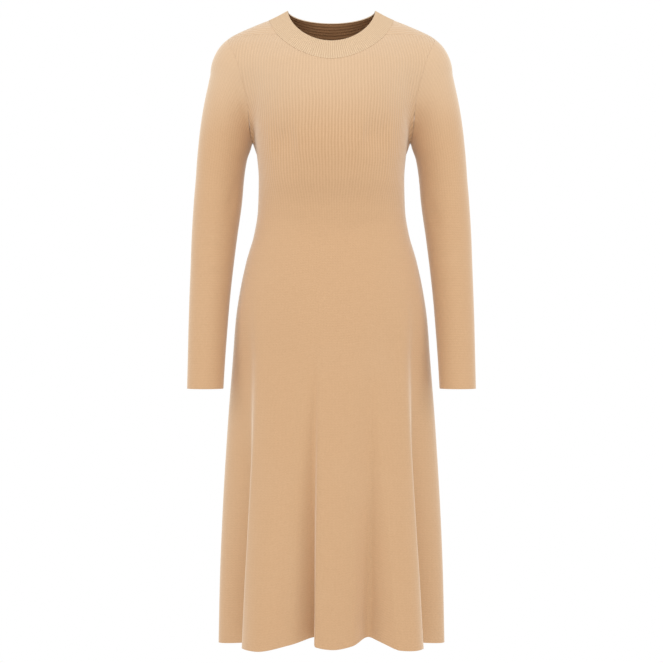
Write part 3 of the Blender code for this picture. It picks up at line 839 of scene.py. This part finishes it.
def ribMaterial(name, look):
    material, tree, shader = startMaterial(name, look)
    lengths = addNode(tree, "ShaderNodeUVMap", {"uv_map": "knit"})
    parts = addNode(tree, "ShaderNodeSeparateXYZ", {}, {0: lengths.outputs[0]})
    place = addNode(tree, "ShaderNodeTexCoord")
    turned = addNode(tree, "ShaderNodeMath", {"operation": "MULTIPLY", 1: 2 * math.pi * band["ribs"]},
                     {0: parts.outputs["X"]})
    ribs = addNode(tree, "ShaderNodeMath", {"operation": "COSINE"}, {0: turned.outputs[0]})
    tone = addNode(tree, "ShaderNodeMath",
                   {"operation": "MULTIPLY_ADD", 1: look["contrast"], 2: look["middleTone"],
                    "use_clamp": True}, {0: ribs.outputs[0]})
    # rib faces and painted shade between the ribs
    colour = addNode(tree, "ShaderNodeMix", {"data_type": "RGBA", 6: linear(look["grooveShade"]),
                     7: linear(look["face"])}, {0: tone.outputs[0]})
    fuzz = addNode(tree, "ShaderNodeTexNoise", {"Scale": look["fuzzScale"], "Detail": 2.0},
                   {"Vector": place.outputs["Object"]})
    finish(tree, shader, colour, fuzz.outputs["Fac"], look)
    return material


def purlMaterial(name, look):
    material, tree, shader = startMaterial(name, look)
    lengths = addNode(tree, "ShaderNodeUVMap", {"uv_map": "knit"})
    parts = addNode(tree, "ShaderNodeSeparateXYZ", {}, {0: lengths.outputs[0]})
    courses = wave(tree, parts.outputs["Y"], look["coursePitch"])
    tone = addNode(tree, "ShaderNodeMath",
                   {"operation": "MULTIPLY_ADD", 1: look["contrast"], 2: look["middleTone"]},
                   {0: courses.outputs[0]})
    # course faces and painted shade in the furrows between them
    colour = addNode(tree, "ShaderNodeMix", {"data_type": "RGBA", 6: linear(look["grooveShade"]),
                     7: linear(look["face"])}, {0: tone.outputs[0]})
    finish(tree, shader, colour, courses.outputs[0], look)
    return material


purl = purlMaterial("purlSideInside", purlSide)
bodyKnit = jerseyMaterial("camelJerseyBody", jersey, 1.0)
sleeveKnit = jerseyMaterial("camelJerseySleeve", jersey, 0.3)
bandKnit = ribMaterial("camelRibNeckband", ribKnit)
print("materials made")


pieces = {}
for node, isFront in (("front", True), ("back", False)):
    pieces[node] = clothPiece(f"{node}Knit", panelGrid(isFront), cloth["thickness"],
                              (bodyKnit, purl), False)
sleeve = sleeveGrid()
for node, side in (("sleeve_left", 1), ("sleeve_right", -1)):
    pieces[node] = clothPiece(f"{node}Knit", sleeve * (side, 1, 1), cloth["thickness"],
                              (sleeveKnit, purl), True)
bandGrid = neckbandGrid()
bandLengths = np.meshgrid(np.arange(bandGrid.shape[1]) / bandGrid.shape[1],
                          np.linspace(0, band["drawnHeight"], band["rows"]))
pieces["neckband"] = clothPiece("neckbandRib", bandGrid, cloth["bandThickness"], (bandKnit, purl),
                                True, bandLengths, False)

# Each piece hangs from the root body in place of the frame's part of the same name, which is hidden. No
# pattern is known, so the pieces follow the form.
for node, piece in pieces.items():
    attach(piece, "root")
    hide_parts(node)
print("pieces placed")


studio = {
    "floorLevel": -1.36,
    "floorSize": 2.4,
    "cameraDistance": 3.5,
    "cameraLevel": -0.575,
    "lens": 105.0,
    "roomLight": 0.84,  # how brightly the white room lights the dress
    "paper": "#F4F3F1",
}

floorMesh = bpy.data.meshes.new("floor")
half = studio["floorSize"] / 2
floorCorners = [(-half, -half, 0), (half, -half, 0), (half, half / 2, 0), (-half, half / 2, 0)]
floorMesh.from_pydata(floorCorners, [], [(0, 1, 2, 3)])
floor = bpy.data.objects.new("floor", floorMesh)
floor.location = (0, 0, studio["floorLevel"])
bpy.context.scene.collection.objects.link(floor)
paper = bpy.data.materials.new("palePaper")
paper.use_nodes = True
paper.node_tree.nodes["Principled BSDF"].inputs["Base Color"].default_value = linear(studio["paper"])
paper.node_tree.nodes["Principled BSDF"].inputs["Roughness"].default_value = 0.9
floorMesh.materials.append(paper)

world = bpy.data.worlds.new("studio")
bpy.context.scene.world = world
world.use_nodes = True
background = world.node_tree.nodes["Background"]
background.inputs["Color"].default_value = (1, 1, 1, 1)
# the sheet behind the dress is lit apart, so it stays white while the dress gets softer light
ray = addNode(world.node_tree, "ShaderNodeLightPath")
strength = addNode(world.node_tree, "ShaderNodeMapRange", {"To Min": studio["roomLight"],
                   "To Max": 1.0}, {"Value": ray.outputs["Is Camera Ray"]})
world.node_tree.links.new(strength.outputs[0], background.inputs["Strength"])


def softbox(name, place, target, size, watts):
    light = bpy.data.objects.new(name, bpy.data.lights.new(name, "AREA"))
    light.data.shape = "RECTANGLE"
    light.data.size, light.data.size_y = size
    light.data.energy = watts
    light.location = place
    light.rotation_euler = (Vector(target) - Vector(place)).to_track_quat("-Z", "Y").to_euler()
    bpy.context.scene.collection.objects.link(light)


softbox("overheadFront", (0, -1.9, 1.5), (0, 0, -0.35), (1.8, 1.2), 20)
softbox("leftSide", (2.4, -0.9, 0.2), (0.1, 0, -0.5), (0.8, 1.8), 11)
softbox("rightSide", (-2.4, -0.9, 0.2), (-0.1, 0, -0.5), (0.8, 1.8), 11)
softbox("frontFill", (0, -3.4, -0.4), (0, 0, -0.6), (2.2, 2.2), 13)

camera = bpy.data.objects.new("camera", bpy.data.cameras.new("camera"))
camera.data.sensor_width = 36.0
camera.data.lens = studio["lens"]
camera.location = (0, -studio["cameraDistance"], studio["cameraLevel"])
camera.rotation_euler = (math.pi / 2, 0, 0)
bpy.context.scene.collection.objects.link(camera)
bpy.context.scene.camera = camera
bpy.context.scene.view_settings.view_transform = "Standard"
